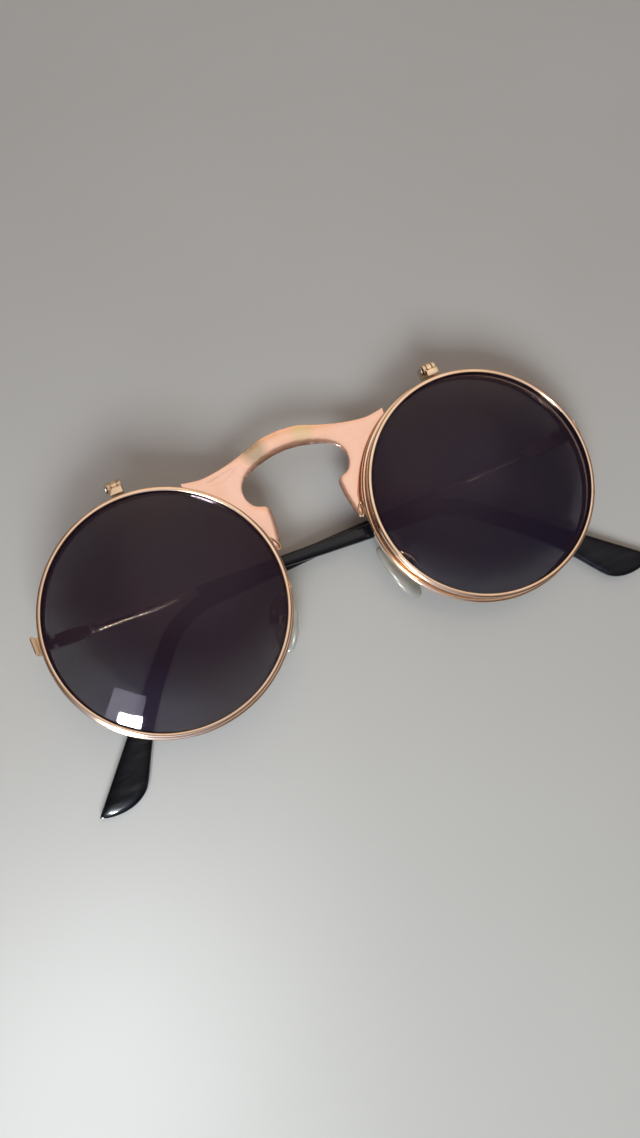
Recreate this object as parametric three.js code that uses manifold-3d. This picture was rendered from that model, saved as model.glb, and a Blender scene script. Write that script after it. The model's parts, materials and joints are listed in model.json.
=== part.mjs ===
// Round metal flip-up sunglasses, folded, lying front up on their two temples.
// Everything is built in the glasses' own frame: X across, Y towards the brow, Z out of the front,
// zero midway between the lenses on the middle plane of the back rims. The whole is then tipped
// about Y so that the temple folded last lies flat on the ground.
import * as THREE from 'three';
import { mergeVertices } from 'three/addons/utils/BufferGeometryUtils.js';
import Module from 'manifold-3d';

// Driving dimensions, millimetres and degrees
const LENS_CENTRE = 35.64;
const ROUND_SEGMENTS = 48;
const CLEARANCE = 0.3;
const RUNNING_GAP = 0.15;
const TILT = 4;

const DOME_RADIUS = 85;
const LENS_THICKNESS = 1.6;
const LENS_EDGE = 0.9;

const BACK_RIM = { aperture: 24.1, groove: 24.75, outer: 25.6, depth: 1.8, z: 0 };
const FLIP_RIM = { aperture: 24.0, groove: 24.5, outer: 24.95, depth: 1.9, z: 3.05 };
const GROOVE_WIDTH = 1.2;

const PLATE_FRONT = -1.2;
const PLATE_THICKNESS = 0.8;
const PLATE_LAP_RADIUS = 25.2;

const FLIP_AXIS = { y: 27.3, z: 2.0 };
const FLIP_HINGE_OFFSET = -0.4;
const FLIP_HINGE = { radius: 1.25, half: 1.45, slot: 0.7, back: 2.9, web: 1.4, bore: 0.8 };
const FLIP_LEAF = { bottom: -2.0, front: 2.1, width: 2.6 };

const TEMPLE_AXIS = { x: 60.2, y: 3.4, z: -4.8 };
const TEMPLE_HINGE = { radius: 1.2, half: 1.65, slot: 0.7, back: 1.85, web: 0.45, bore: 0.8 };
const END_PIECE = { inner: 61.5, outer: 62.4, front: 0.9, back: -3.9, reach: 59.0, shoulder: 0.35 };
const RIM_BLOCK = { front: -1.25, back: -2.75, screwX: 61.2, screwZ: -2.0, bore: 0.55 };

const SCREW_RADIUS = 0.5;
const BAR = { start: 1.65, taper: 6.4, end: 8.6, height: 3.0, front: 0.35, back: -0.65 };
const COLLAR = { start: 9.1, end: 10.1, inner: 0.8, outer: 1.3 };
const SPRING = { start: 10.5, end: 24.4, coils: 13, radius: 1.03, wire: 0.27 };
const CORE = { start: 8.9, thin: 0.5, thick: 0.75, thickStart: 24.8, thickEnd: 31.2, tipMargin: 14 };
const SLEEVE = { start: 31.5, bore: 0.7, halfThickness: 1.1, startHalf: 1.15, bendHalf: 1.75 };
const PADDLE = { upper: 2.0, belly: 3.7, bellyAt: 8.8, spread: 11 };
const BEND_RADIUS = 18;

// The two temples were bent to fit by hand, so their bends differ a little
const TEMPLES = {
  left: { side: -1, droop: 2.7, vertex: 90.1, tip: 47.7, tipAngle: 38.5 },
  right: { side: 1, droop: 2.1, vertex: 94.2, tip: 45.8, tipAngle: 49.5 },
};

const PAD = { length: 14.4, width: 6, thickness: 2.2, centre: [13.4, -10.5, -6.1] };
const PAD_BOX = { radius: 0.95, half: 1.35, slot: 0.75, back: 2.0, web: 0.7, bore: 0.6 };
const PAD_ARM_RADIUS = 0.5;
const PAD_ARM_STEPS = 14;

const COLOURS = {
  gold: { color: 0xd9b596, roughness: 0.22, metalness: 1 },
  steel: { color: 0xc9c4bb, roughness: 0.3, metalness: 1 },
  black: { color: 0x0e0d0f, roughness: 0.18, metalness: 0 },
  tint: { color: 0x2b1f2a, roughness: 0.05, metalness: 0 },
  clear: { color: 0xe9efee, roughness: 0.05, metalness: 0 },
  silicone: { color: 0xd8dad6, roughness: 0.35, metalness: 0 },
};

const X = new THREE.Vector3(1, 0, 0);
const Y = new THREE.Vector3(0, 1, 0);
const Z = new THREE.Vector3(0, 0, 1);
const radians = THREE.MathUtils.degToRad;
const at = (x, y, z) => new THREE.Vector3(x, y, z);

const wasm = await Module();
wasm.setup();

// ---------------------------------------------------------------- geometry helpers

// Turns the faces of a closed body so that they all look outwards
function outward(geometry) {
  const position = geometry.getAttribute('position');
  const index = geometry.getIndex().array;
  const corners = [at(0, 0, 0), at(0, 0, 0), at(0, 0, 0)];
  let volume = 0;
  for (let i = 0; i < index.length; i += 3) {
    corners.forEach((corner, j) => corner.fromBufferAttribute(position, index[i + j]));
    volume += corners[0].dot(corners[1].clone().cross(corners[2]));
  }
  if (volume < 0) {
    for (let i = 0; i < index.length; i += 3) {
      const second = index[i + 1];
      index[i + 1] = index[i + 2];
      index[i + 2] = second;
    }
  }
  return geometry;
}

function middle(ring) {
  const sum = ring.reduce((total, point) => total.add(point), at(0, 0, 0));
  return sum.divideScalar(ring.length);
}

// A skin over a row of rings with the same number of points, closed at both ends by a fan
function skin(rings, startTip = middle(rings[0]), endTip = middle(rings.at(-1))) {
  const count = rings[0].length;
  const points = rings.flat();
  const first = points.length;
  points.push(startTip, endTip);
  const index = [];
  for (let j = 0; j < count; j++) {
    const k = (j + 1) % count;
    const last = (rings.length - 1) * count;
    for (let here = 0; here < last; here += count) {
      index.push(here + j, here + k, here + count + k);
      index.push(here + j, here + count + k, here + count + j);
    }
    index.push(first, k, j);
    index.push(first + 1, last + j, last + k);
  }
  return fromPoints(points, index);
}

// A closed ring of sections, each a closed outline
function hoop(sections) {
  const count = sections[0].length;
  const index = [];
  sections.forEach((section, i) => {
    const here = i * count;
    const next = ((i + 1) % sections.length) * count;
    for (let j = 0; j < count; j++) {
      const k = (j + 1) % count;
      index.push(here + j, here + k, next + k, here + j, next + k, next + j);
    }
  });
  return fromPoints(sections.flat(), index);
}

function fromPoints(points, index) {
  const geometry = new THREE.BufferGeometry();
  const coordinates = points.flatMap((point) => [point.x, point.y, point.z]);
  geometry.setAttribute('position', new THREE.Float32BufferAttribute(coordinates, 3));
  geometry.setIndex(index);
  return outward(geometry);
}

// Points of a circle about an axis through `centre`; u and v span its plane
function circle(centre, u, v, radius, count) {
  return Array.from({ length: count }, (_, i) => {
    const turn = (2 * Math.PI * i) / count;
    return centre.clone()
      .addScaledVector(u, radius * Math.cos(turn))
      .addScaledVector(v, radius * Math.sin(turn));
  });
}

// A turned pin along X: pairs of [x, radius]
function turned(profile, count = 12) {
  return skin(profile.map(([x, radius]) => circle(at(x, 0, 0), Y, Z, radius, count)));
}

// An outline in the YZ plane drawn out along X, from -half to +half
function prismAlongX(shape, half, smoothness = 5) {
  const options = { depth: 2 * half, bevelEnabled: false, curveSegments: smoothness };
  const geometry = new THREE.ExtrudeGeometry(shape, options);
  geometry.translate(0, 0, -half);
  geometry.applyMatrix4(new THREE.Matrix4().makeBasis(Y, Z, X));
  return geometry;
}

function box(from, to) {
  const geometry = new THREE.BoxGeometry(to[0] - from[0], to[1] - from[1], to[2] - from[2]);
  return geometry.translate((from[0] + to[0]) / 2, (from[1] + to[1]) / 2, (from[2] + to[2]) / 2);
}

function toManifold(geometry) {
  const bare = geometry.clone();
  bare.deleteAttribute('normal');
  bare.deleteAttribute('uv');
  const merged = mergeVertices(bare, 1e-4);
  const vertProperties = new Float32Array(merged.getAttribute('position').array);
  const triVerts = new Uint32Array(merged.getIndex().array);
  return new wasm.Manifold(new wasm.Mesh({ numProp: 3, vertProperties, triVerts }));
}

function fromManifold(solid) {
  const result = solid.getMesh();
  const geometry = new THREE.BufferGeometry();
  geometry.setAttribute('position', new THREE.BufferAttribute(Float32Array.from(result.vertProperties), 3));
  geometry.setIndex(new THREE.BufferAttribute(Uint32Array.from(result.triVerts), 1));
  return geometry;
}

const joined = (...bodies) => fromManifold(bodies.map(toManifold).reduce((a, b) => a.add(b)));
const cut = (body, tool) => fromManifold(toManifold(body).subtract(toManifold(tool)));

// Pieces are drawn for the right side; the left side is their mirror image
function onSide(geometry, side) {
  const plain = mergeVertices(stripped(geometry), 1e-4);
  return outward(side < 0 ? plain.scale(-1, 1, 1) : plain);
}

function stripped(geometry) {
  const bare = geometry.clone();
  bare.deleteAttribute('normal');
  bare.deleteAttribute('uv');
  return bare;
}

function piece(name, geometry, finish) {
  const body = outward(mergeVertices(stripped(geometry), 1e-4));
  const flat = body.toNonIndexed();
  flat.computeVertexNormals();
  const mesh = new THREE.Mesh(flat, new THREE.MeshStandardMaterial(COLOURS[finish]));
  mesh.name = name;
  return mesh;
}

// ---------------------------------------------------------------- hinge shapes

// Fork of a hinge about the X axis: two cheeks joined by a web on the -Z side
function fork({ radius, half, slot, back, web, bore }) {
  const outline = new THREE.Shape();
  outline.absarc(0, 0, radius, 0, Math.PI, false);
  outline.lineTo(-radius, -back);
  outline.lineTo(radius * 0.7, -back);
  outline.lineTo(radius, -back / 3);
  const hole = new THREE.Path();
  hole.absarc(0, 0, bore, 0, 2 * Math.PI, true);
  outline.holes.push(hole);
  const opening = box([-slot, -2 * radius, web - back], [slot, 2 * radius, 2 * radius]);
  return cut(prismAlongX(outline, half), opening);
}

// Middle knuckle that turns inside a fork
function eye({ radius, slot, bore }) {
  const outline = new THREE.Shape();
  outline.absarc(0, 0, radius, 0, 2 * Math.PI, false);
  const hole = new THREE.Path();
  hole.absarc(0, 0, bore, 0, 2 * Math.PI, true);
  outline.holes.push(hole);
  return prismAlongX(outline, slot - RUNNING_GAP, 7);
}

// Hinge screw along X with its head on the -X side
function hingeScrew(half, radius, headRadius, headDepth) {
  const head = -half - RUNNING_GAP;
  return turned([
    [head - headDepth, headRadius * 0.8],
    [head - headDepth * 0.6, headRadius],
    [head, headRadius],
    [head + 0.01, radius],
    [half - 0.1, radius],
  ]);
}

// ---------------------------------------------------------------- front

const domeDrop = (radius) => DOME_RADIUS - Math.sqrt(DOME_RADIUS ** 2 - radius ** 2);

function rim({ aperture, groove, outer, depth, z }) {
  const face = depth / 2;
  const lip = GROOVE_WIDTH / 2;
  const round = 0.25;
  const profile = [
    [outer - round, -face], [outer, -face + 2 * round], [outer, face - 2 * round], [outer - round, face],
    [aperture, face], [aperture, lip], [groove, lip], [groove, -lip], [aperture, -lip], [aperture, -face],
  ];
  const sections = circle(at(0, 0, 0), X, Y, 1, ROUND_SEGMENTS).map((spoke) => (
    profile.map(([radius, height]) => at(spoke.x * radius, spoke.y * radius, z + height))
  ));
  return hoop(sections);
}

// A lens domed towards the front, its bevelled edge standing in the groove of its rim
function lens({ aperture, groove, z }) {
  const edge = groove - 0.2;
  const shoulder = aperture - 0.4;
  const bevel = aperture - 0.1;
  const rise = domeDrop(edge);
  const half = LENS_THICKNESS / 2;
  const surface = (radius, offset) => [radius, rise - domeDrop(radius) + offset];
  const inner = [shoulder / 3, (2 * shoulder) / 3, shoulder];
  const profile = [
    ...inner.map((radius) => surface(radius, half)),
    [bevel, LENS_EDGE / 2], [edge, LENS_EDGE / 2], [edge, -LENS_EDGE / 2], [bevel, -LENS_EDGE / 2],
    ...inner.reverse().map((radius) => surface(radius, -half)),
  ];
  const rings = profile.map(([radius, height]) => circle(at(0, 0, z + height), X, Y, radius, ROUND_SEGMENTS));
  return skin(rings, at(0, 0, z + rise + half), at(0, 0, z + rise - half));
}

// The arched plate between the rims: ears along the top, a leg down each side of the nose
function bridgePlate() {
  const top = [[0, 27.4], [4.6, 26.9], [8.5, 25.5], [13.6, 24.0], [18.8, 23.25], [22.6, 23.65]];
  const nose = [[9.1, 3.4], [8.4, 6.4], [7.95, 10.2], [8.3, 12.6], [10.85, 13.95], [12.05, 16.8],
    [10.8, 19.65], [7.8, 21.25], [3.5, 22.4], [0, 22.75]];
  const smooth = (list, count) => (
    new THREE.SplineCurve(list.map(([x, y]) => new THREE.Vector2(x, y))).getPoints(count)
  );
  const upper = Math.atan2(22.2, 23.2 - LENS_CENTRE);
  const lower = Math.atan2(3.9, 9.9 - LENS_CENTRE);
  const lap = new THREE.EllipseCurve(
    LENS_CENTRE, 0, PLATE_LAP_RADIUS, PLATE_LAP_RADIUS, upper, lower, false,
  ).getPoints(16);
  const tip = [new THREE.Vector2(23.5, 23.9)];
  const half = [...smooth(top, 16), ...tip, ...lap, ...smooth(nose, 28)];
  const mirrored = half.slice(1, -1).reverse().map((point) => new THREE.Vector2(-point.x, point.y));
  const geometry = new THREE.ExtrudeGeometry(new THREE.Shape([...half, ...mirrored]), {
    depth: PLATE_THICKNESS,
    bevelEnabled: false,
  });
  return geometry.translate(0, 0, PLATE_FRONT - PLATE_THICKNESS);
}

// ---------------------------------------------------------------- flip-up hinge

// Middle knuckle with a neck and a crosspiece that carries the flip rim
function flipLeaf() {
  const { bottom, front } = FLIP_LEAF;
  const neck = new THREE.Shape([
    new THREE.Vector2(-0.95, 0.6), new THREE.Vector2(bottom, 0.9), new THREE.Vector2(bottom, front),
    new THREE.Vector2(-0.7, front), new THREE.Vector2(-0.1, 1.05),
  ]);
  const width = FLIP_HINGE.slot - RUNNING_GAP;
  const half = FLIP_LEAF.width / 2;
  const crosspiece = box([-half, bottom, front - 0.65], [half, -0.7, front]);
  return joined(eye(FLIP_HINGE), prismAlongX(neck, width), crosspiece);
}

function flipUnit(name, side) {
  const group = new THREE.Group();
  group.name = `flip_${name}`;
  const axis = [side * LENS_CENTRE + FLIP_HINGE_OFFSET, FLIP_AXIS.y, FLIP_AXIS.z];
  group.add(
    piece(`flip_rim_${name}`, rim(FLIP_RIM).translate(side * LENS_CENTRE, 0, 0), 'gold'),
    piece(`flip_lens_${name}`, lens(FLIP_RIM).translate(side * LENS_CENTRE, 0, 0), 'tint'),
    piece(`flip_hinge_leaf_${name}`, flipLeaf().translate(...axis), 'gold'),
  );
  return group;
}

function flipHingeBase(name, side) {
  const axis = [side * LENS_CENTRE + FLIP_HINGE_OFFSET, FLIP_AXIS.y, FLIP_AXIS.z];
  const screw = hingeScrew(FLIP_HINGE.half, SCREW_RADIUS, 1.0, 0.45);
  return [
    piece(`flip_hinge_base_${name}`, fork(FLIP_HINGE).translate(...axis), 'gold'),
    piece(`flip_hinge_screw_${name}`, screw.translate(...axis), 'steel'),
  ];
}

// ---------------------------------------------------------------- end piece and temple hinge

function endPiece() {
  const { inner, outer, front, back, reach } = END_PIECE;
  const strip = new THREE.Shape();
  strip.moveTo(front, inner);
  strip.lineTo(front, outer - 0.35);
  strip.quadraticCurveTo(front, outer, front - 0.45, outer);
  strip.lineTo(back + 0.4, outer);
  strip.quadraticCurveTo(back, outer, back, outer - 0.4);
  strip.lineTo(back, inner);
  strip.lineTo(RIM_BLOCK.back, inner);
  strip.lineTo(RIM_BLOCK.back, reach);
  strip.lineTo(RIM_BLOCK.front, reach);
  strip.lineTo(RIM_BLOCK.front, inner);
  const hole = new THREE.Path();
  hole.absarc(RIM_BLOCK.screwZ, RIM_BLOCK.screwX, RIM_BLOCK.bore, 0, 2 * Math.PI, true);
  strip.holes.push(hole);
  const options = { depth: 2 * TEMPLE_HINGE.half, bevelEnabled: false, curveSegments: 5 };
  const geometry = new THREE.ExtrudeGeometry(strip, options);
  geometry.translate(0, 0, TEMPLE_AXIS.y - TEMPLE_HINGE.half);
  geometry.applyMatrix4(new THREE.Matrix4().makeBasis(Z, X, Y));
  const half = TEMPLE_HINGE.half + END_PIECE.shoulder;
  const cover = box(
    [inner + 0.5, TEMPLE_AXIS.y - half, back + 0.4],
    [outer - 0.05, TEMPLE_AXIS.y + half, front - 0.5],
  );
  return joined(geometry, cover);
}

// Stands a shape made about the X axis on the temple hinge, its fork looking forwards
function onTempleHinge(geometry) {
  const upright = new THREE.Matrix4().makeBasis(Y, X, Z.clone().negate());
  return geometry.applyMatrix4(upright).translate(TEMPLE_AXIS.x, TEMPLE_AXIS.y, TEMPLE_AXIS.z);
}

function rimScrew() {
  const screw = hingeScrew(TEMPLE_HINGE.half, 0.4, 0.65, 0.35);
  const upright = new THREE.Matrix4().makeBasis(Y, X, Z.clone().negate());
  return screw.applyMatrix4(upright).translate(RIM_BLOCK.screwX, TEMPLE_AXIS.y, RIM_BLOCK.screwZ);
}

function frontSide(name, side) {
  const screw = hingeScrew(TEMPLE_HINGE.half, SCREW_RADIUS, 0.9, 0.4).rotateZ(Math.PI);
  return [
    piece(`end_piece_${name}`, onSide(endPiece(), side), 'gold'),
    piece(`rim_screw_${name}`, onSide(rimScrew(), side), 'steel'),
    piece(`temple_hinge_leaf_${name}`, onSide(onTempleHinge(fork(TEMPLE_HINGE)), side), 'gold'),
    piece(`temple_hinge_screw_${name}`, onSide(onTempleHinge(screw), side), 'steel'),
  ];
}

// ---------------------------------------------------------------- temple

// Middle line of a temple: straight from the hinge, one bend behind the ear, straight to the tip.
// `along` runs away from the hinge, and the line drops towards -Y.
function templeLine({ droop, vertex, tip, tipAngle }) {
  const start = radians(droop);
  const turn = radians(tipAngle) - start;
  const tangent = BEND_RADIUS * Math.tan(turn / 2);
  const bendStart = vertex - tangent;
  const bendLength = BEND_RADIUS * turn;
  const total = bendStart + bendLength + tip - tangent;
  const pointAt = (distance) => {
    const straight = Math.min(distance, bendStart);
    const bent = THREE.MathUtils.clamp(distance - bendStart, 0, bendLength) / BEND_RADIUS;
    const rest = Math.max(distance - bendStart - bendLength, 0);
    const heading = start + bent;
    const along = straight * Math.cos(start)
      + BEND_RADIUS * (Math.sin(heading) - Math.sin(start)) + rest * Math.cos(heading);
    const drop = straight * Math.sin(start)
      + BEND_RADIUS * (Math.cos(start) - Math.cos(heading)) + rest * Math.sin(heading);
    return { point: at(-along, -drop, 0), up: at(-Math.sin(heading), Math.cos(heading), 0) };
  };
  return { pointAt, bendStart, bendLength, total };
}

// How far the sleeve reaches above and below the middle line, and half its thickness
function sleeveSection(line, distance) {
  const toTip = line.total - distance;
  const grown = THREE.MathUtils.smoothstep(distance, SLEEVE.start, line.bendStart);
  const width = THREE.MathUtils.lerp(SLEEVE.startHalf, SLEEVE.bendHalf, grown);
  const pastBend = THREE.MathUtils.smoothstep(distance, line.bendStart, line.bendStart + line.bendLength + 8);
  const upper = THREE.MathUtils.lerp(width, PADDLE.upper, pastBend);
  const depth = PADDLE.belly + SLEEVE.bendHalf;
  if (toTip > PADDLE.bellyAt) {
    const swell = Math.exp(-(((toTip - PADDLE.bellyAt) / PADDLE.spread) ** 1.4));
    return { upper, lower: width + (depth - width) * swell, thick: SLEEVE.halfThickness };
  }
  const closing = (1 - toTip / PADDLE.bellyAt) ** 2;
  const lower = (depth + upper) * (1 - closing) ** 0.75 - upper;
  return { upper, lower, thick: SLEEVE.halfThickness * (1 - closing ** 3) ** 0.5 };
}

// A softly squared outline around the middle line
function sleeveRing(line, distance) {
  const { point, up } = line.pointAt(distance);
  const { upper, lower, thick } = sleeveSection(line, distance);
  const centre = point.clone().addScaledVector(up, (upper - lower) / 2);
  const half = (upper + lower) / 2;
  const soften = (value) => Math.sign(value) * Math.abs(value) ** 0.65;
  return Array.from({ length: 12 }, (_, i) => {
    const turn = (2 * Math.PI * i) / 12;
    return centre.clone()
      .addScaledVector(up, half * soften(Math.cos(turn)))
      .addScaledVector(Z, thick * soften(Math.sin(turn)));
  });
}

function stations(line, from, to, count) {
  return Array.from({ length: count + 1 }, (_, i) => from + ((to - from) * i) / count);
}

function bendStations(line) {
  return stations(line, line.bendStart, line.bendStart + line.bendLength, 5);
}

function coreRadius(distance) {
  return distance > CORE.thickStart && distance < CORE.thickEnd ? CORE.thick : CORE.thin;
}

function lineRing(line, distance, radius, count) {
  const { point, up } = line.pointAt(distance);
  return circle(point, up, Z, radius, count);
}

function templeCore(line) {
  const end = line.total - CORE.tipMargin;
  const step = 0.01;
  const marks = [
    CORE.start, CORE.thickStart, CORE.thickStart + step, CORE.thickEnd - step, CORE.thickEnd,
    ...bendStations(line), end,
  ];
  return skin(marks.map((distance) => lineRing(line, distance, coreRadius(distance), 8)));
}

// A plastic sleeve, open at the spring end and closed at the tip, hollow for the wire core
function templeSleeve(line) {
  const bellyStart = line.bendStart + line.bendLength;
  const belly = line.total - PADDLE.bellyAt;
  const outside = [
    SLEEVE.start, 48, 66, ...bendStations(line),
    ...stations(line, bellyStart, belly, 5).slice(1),
    ...[0.74, 0.5, 0.3, 0.14, 0.04].map((share) => line.total - PADDLE.bellyAt * share),
  ];
  const boreEnd = line.total - CORE.tipMargin + CLEARANCE;
  const inside = [SLEEVE.start, ...bendStations(line), boreEnd];
  const outerRings = outside.map((distance) => sleeveRing(line, distance));
  const innerRings = inside.map((distance) => lineRing(line, distance, SLEEVE.bore, 12));
  return skin([...outerRings.reverse(), ...innerRings]);
}

function templeSpring(line) {
  const perTurn = 6;
  const count = SPRING.coils * perTurn;
  const length = SPRING.end - SPRING.start;
  const rings = Array.from({ length: count + 1 }, (_, i) => {
    const turn = (2 * Math.PI * i) / perTurn;
    const { point, up } = line.pointAt(SPRING.start + (length * i) / count);
    const out = up.clone().multiplyScalar(Math.cos(turn)).addScaledVector(Z, Math.sin(turn));
    const centre = point.clone().addScaledVector(out, SPRING.radius);
    const forward = line.pointAt(SPRING.end).point.sub(line.pointAt(SPRING.start).point).normalize();
    return circle(centre, out, forward, SPRING.wire, 4);
  });
  return skin(rings);
}

function templeCollar(line) {
  const ring = (distance, radius) => lineRing(line, distance, radius, 14);
  const rings = [
    ring(COLLAR.start, COLLAR.inner), ring(COLLAR.start, COLLAR.outer),
    ring(COLLAR.end, COLLAR.outer), ring(COLLAR.end, COLLAR.inner),
  ];
  return hoop(rings);
}

function templeBar(line) {
  const section = (distance, share) => {
    const { point, up } = line.pointAt(distance);
    const half = (BAR.height / 2) * share;
    const bevel = 0.2;
    const outline = [
      [half - bevel, BAR.front], [half, BAR.front - bevel],
      [half, BAR.back + bevel], [half - bevel, BAR.back],
      [bevel - half, BAR.back], [-half, BAR.back + bevel],
      [-half, BAR.front - bevel], [bevel - half, BAR.front],
    ];
    return outline.map(([high, deep]) => point.clone().addScaledVector(up, high).addScaledVector(Z, deep));
  };
  return skin([
    section(BAR.start, 0.9),
    section(BAR.start + 0.5, 1),
    section(BAR.taper, 1),
    section(BAR.end, 0.75),
  ]);
}

// Middle knuckle with a tongue that lies along the inner face of the temple bar
function templeKnuckle() {
  const width = TEMPLE_HINGE.slot - RUNNING_GAP;
  const tongue = box([-width, -1.9, -1.15], [width, 0, -0.65]);
  const foot = box([-1.15, -5.6, -1.15], [1.15, -1.8, -0.65]);
  return joined(eye(TEMPLE_HINGE), tongue, foot);
}

function templeUnit(name, setting, restAngle) {
  const group = new THREE.Group();
  group.name = `temple_${name}`;
  const line = templeLine(setting);
  const { x, y, z } = TEMPLE_AXIS;
  const place = (geometry) => onSide(geometry.rotateY(-restAngle).translate(x, y, z), setting.side);
  const knuckle = templeKnuckle().applyMatrix4(new THREE.Matrix4().makeBasis(Y, X, Z.clone().negate()));
  group.add(
    piece(`temple_hinge_knuckle_${name}`, place(knuckle), 'gold'),
    piece(`temple_bar_${name}`, place(templeBar(line)), 'gold'),
    piece(`spring_collar_${name}`, place(templeCollar(line)), 'gold'),
    piece(`temple_spring_${name}`, place(templeSpring(line)), 'gold'),
    piece(`temple_core_${name}`, place(templeCore(line)), 'gold'),
    piece(`temple_sleeve_${name}`, place(templeSleeve(line)), 'black'),
  );
  return group;
}

// ---------------------------------------------------------------- nose pads

// Directions of a pad: `across` from its front edge to its rear edge, `inward` to the nose
function padFrame() {
  const down = at(0.35, -0.93, -0.12).normalize();
  const across = at(0.75, 0, -0.66);
  across.addScaledVector(down, -across.dot(down)).normalize();
  const inward = across.clone().cross(down).normalize();
  if (inward.x > 0) {
    inward.negate();
  }
  return { down, across, inward, centre: at(...PAD.centre) };
}

function nosePad() {
  const { down, across, inward, centre } = padFrame();
  const half = PAD.thickness / 2;
  const layer = (share, height) => Array.from({ length: 20 }, (_, i) => {
    const turn = (2 * Math.PI * i) / 20;
    const low = Math.cos(turn);
    const wide = Math.sin(turn) * (1 + 0.16 * low);
    return centre.clone()
      .addScaledVector(down, (PAD.length / 2) * share * low)
      .addScaledVector(across, (PAD.width / 2) * share * wide)
      .addScaledVector(inward, height);
  });
  const rings = [
    layer(0.82, -half),
    layer(1, -half * 0.4),
    layer(0.98, half * 0.35),
    layer(0.78, half * 0.85),
  ];
  return skin(rings, undefined, centre.clone().addScaledVector(inward, half));
}

// Frame of the pad's own hinge: its screw runs along `across`, its fork is open towards the pad
function onPadHinge(geometry) {
  const { across, inward, centre } = padFrame();
  const third = inward.clone().cross(across);
  const offset = PAD.thickness / 2 + CLEARANCE + PAD_BOX.radius;
  const pivot = centre.clone().addScaledVector(inward, -offset);
  return geometry.applyMatrix4(new THREE.Matrix4().makeBasis(across, third, inward).setPosition(pivot));
}

// Wire from the back of the rim to the rear of the pad box
function padArm() {
  const { inward, centre, down } = padFrame();
  const end = centre.clone().addScaledVector(inward, -(PAD.thickness / 2 + CLEARANCE + PAD_BOX.radius));
  end.addScaledVector(inward, -(PAD_BOX.back + CLEARANCE + PAD_ARM_RADIUS));
  const path = new THREE.CatmullRomCurve3([
    at(11.3, -5.2, -1.75),
    at(12.4, -5.5, -2.6),
    at(14.4, -6.4, -2.9),
    end.clone().addScaledVector(down, -1.8),
    end.clone().addScaledVector(down, 0.9),
  ]);
  const { normals, binormals } = path.computeFrenetFrames(PAD_ARM_STEPS, false);
  return skin(path.getSpacedPoints(PAD_ARM_STEPS).map((point, i) => (
    circle(point, normals[i], binormals[i], PAD_ARM_RADIUS, 7)
  )));
}

function padStud() {
  const size = { ...PAD_BOX, radius: PAD_BOX.radius - 0.05 };
  const stud = eye(size);
  const width = PAD_BOX.slot - RUNNING_GAP;
  return joined(stud, box([-width, -0.8, 0.62], [width, 0.8, PAD_BOX.radius + 0.1]));
}

function padUnit(name, side) {
  const group = new THREE.Group();
  group.name = `pad_${name}`;
  group.add(
    piece(`nose_pad_${name}`, onSide(nosePad(), side), 'silicone'),
    piece(`pad_stud_${name}`, onSide(onPadHinge(padStud()), side), 'gold'),
  );
  return group;
}

function padMount(name, side) {
  const screw = hingeScrew(PAD_BOX.half, 0.35, 0.7, 0.35);
  return [
    piece(`pad_arm_${name}`, onSide(padArm(), side), 'gold'),
    piece(`pad_box_${name}`, onSide(onPadHinge(fork(PAD_BOX)), side), 'gold'),
    piece(`pad_screw_${name}`, onSide(onPadHinge(screw), side), 'steel'),
  ];
}

// ---------------------------------------------------------------- assembly

function frontUnit() {
  const group = new THREE.Group();
  group.name = 'front';
  group.add(piece('bridge_plate', bridgePlate(), 'gold'));
  for (const [name, { side }] of Object.entries(TEMPLES)) {
    group.add(
      piece(`back_rim_${name}`, rim(BACK_RIM).translate(side * LENS_CENTRE, 0, 0), 'gold'),
      piece(`back_lens_${name}`, lens(BACK_RIM).translate(side * LENS_CENTRE, 0, 0), 'clear'),
      ...flipHingeBase(name, side),
      ...frontSide(name, side),
      ...padMount(name, side),
    );
  }
  return group;
}

// The right temple is folded last: it slopes away from the front by the tilt and lies on the ground.
// The left temple lies inside it and reaches the ground with its tip.
function restAngles() {
  const line = templeLine(TEMPLES.left);
  const reach = -line.pointAt(line.total - PADDLE.bellyAt / 3).point.x;
  const fall = 2 * TEMPLE_AXIS.x * Math.sin(radians(TILT));
  return { left: Math.asin(fall / reach) - radians(TILT), right: radians(TILT) };
}

const group = new THREE.Group();
group.name = 'flip_up_sunglasses';
const glasses = new THREE.Group();
glasses.name = 'glasses';
glasses.add(frontUnit());
const rest = restAngles();
for (const [name, setting] of Object.entries(TEMPLES)) {
  glasses.add(flipUnit(name, setting.side));
  glasses.add(templeUnit(name, setting, rest[name]));
  glasses.add(padUnit(name, setting.side));
}
glasses.rotation.y = radians(TILT);
group.add(glasses);
group.updateMatrixWorld(true);
const bounds = new THREE.Box3().setFromObject(group, true);
glasses.position.set(-(bounds.min.x + bounds.max.x) / 2, -(bounds.min.y + bounds.max.y) / 2, -bounds.min.z);
group.updateMatrixWorld(true);

export default group;
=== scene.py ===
import json
import math
import bmesh
import bpy
from mathutils import Matrix, Quaternion, Vector
from mathutils.geometry import delaunay_2d_cdt, intersect_point_line


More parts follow.
